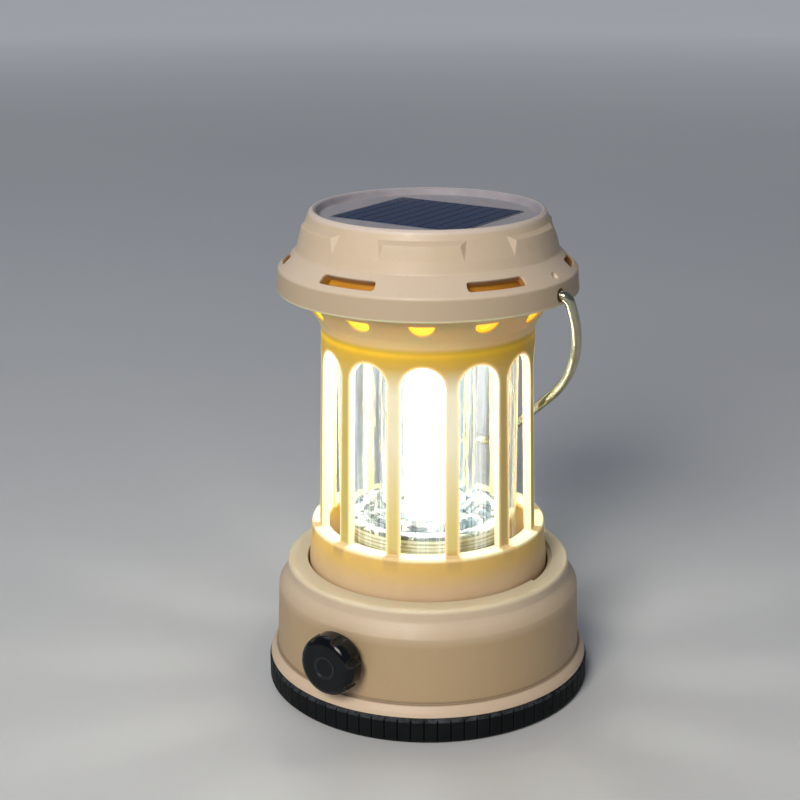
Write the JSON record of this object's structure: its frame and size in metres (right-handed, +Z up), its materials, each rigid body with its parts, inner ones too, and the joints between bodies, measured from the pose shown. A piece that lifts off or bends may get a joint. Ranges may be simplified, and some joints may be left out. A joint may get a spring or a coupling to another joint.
{
  "type": "solar camping lantern",
  "caption": "Round solar camping lantern: solar-topped cap with vent slots, slotted light cage, flared base with front rotary control, tread foot ring and folding wire bail.",
  "frame": {"origin": "centre of the base's underside, in the plane the foot ring stands on", "axes": "+Z up through the lamp, -Y through the control knob, +Y through the charging port, X along the bail's pivot axis"},
  "size_m": [0.1004, 0.1059, 0.1485],
  "materials": {
    "beige_plastic": "fine moulded texture",
    "cage_plastic": "fine moulded texture, slightly translucent",
    "black_rubber": "moulded",
    "gloss_black": "polished",
    "polished_steel": "polished wire",
    "plated_steel": "plated",
    "turned_aluminium": "turned",
    "solar_carrier": "resin laminate",
    "solar_silicon": "resin-covered silicon",
    "clear_plastic": "clear",
    "white_plastic": "satin white",
    "glowing_diffuser": "frosted, lit",
    "led_phosphor": "lit phosphor",
    "circuit_board": "solder mask",
    "component_black": "moulded",
    "battery_sleeve": "shrink sleeve",
    "lead_insulation": "wire insulation"
  },
  "bodies": {
    "lantern": {"foot_ring": "black_rubber", "base_housing": "beige_plastic", "base_plate": "beige_plastic", "base_screws": "plated_steel", "cage_screws": "plated_steel", "cage": "cage_plastic", "cap_cover": "beige_plastic", "cap_screws": "plated_steel", "solar_panel": "solar_carrier", "solar_cells": "solar_silicon", "solar_leads": "lead_insulation", "top_reflector": "white_plastic", "lamp_cover": "clear_plastic", "light_guide": "clear_plastic", "diffuser_column": "glowing_diffuser", "led_strip": "circuit_board", "led_chips": "led_phosphor", "lamp_pedestal": "white_plastic", "pot_body": "plated_steel", "pot_washer": "plated_steel", "pot_nut": "plated_steel", "usb_c_socket": "plated_steel", "usb_c_tongue": "component_black", "port_hinge_pin": "plated_steel", "charge_indicator": "clear_plastic", "main_board": "circuit_board", "board_screws": "plated_steel", "board_components": "component_black", "battery_cell": "battery_sleeve", "battery_holder": "component_black", "battery_contacts": "plated_steel"},
    "bail": {"bail_handle": "polished_steel", "bail_retainers": "plated_steel"},
    "knob": {"control_knob": "gloss_black", "pot_shaft": "turned_aluminium"},
    "flap": {"port_flap": "beige_plastic"}
  },
  "joints": [
    {"name": "bail_swing", "type": "hinge", "parent": "lantern", "child": "bail", "pos_m": [0, 0, 0.1278], "axis": [1, 0, 0], "range_deg": [0, 296]},
    {"name": "knob_turn", "type": "hinge", "parent": "lantern", "child": "knob", "pos_m": [0, -0.0495, 0.0227], "axis": [0, 1, 0], "range_deg": [0, 300]},
    {"name": "flap_open", "type": "hinge", "parent": "lantern", "child": "flap", "pos_m": [0, 0.0455, 0.0229], "axis": [1, 0, 0], "range_deg": [0, 100]}
  ]
}
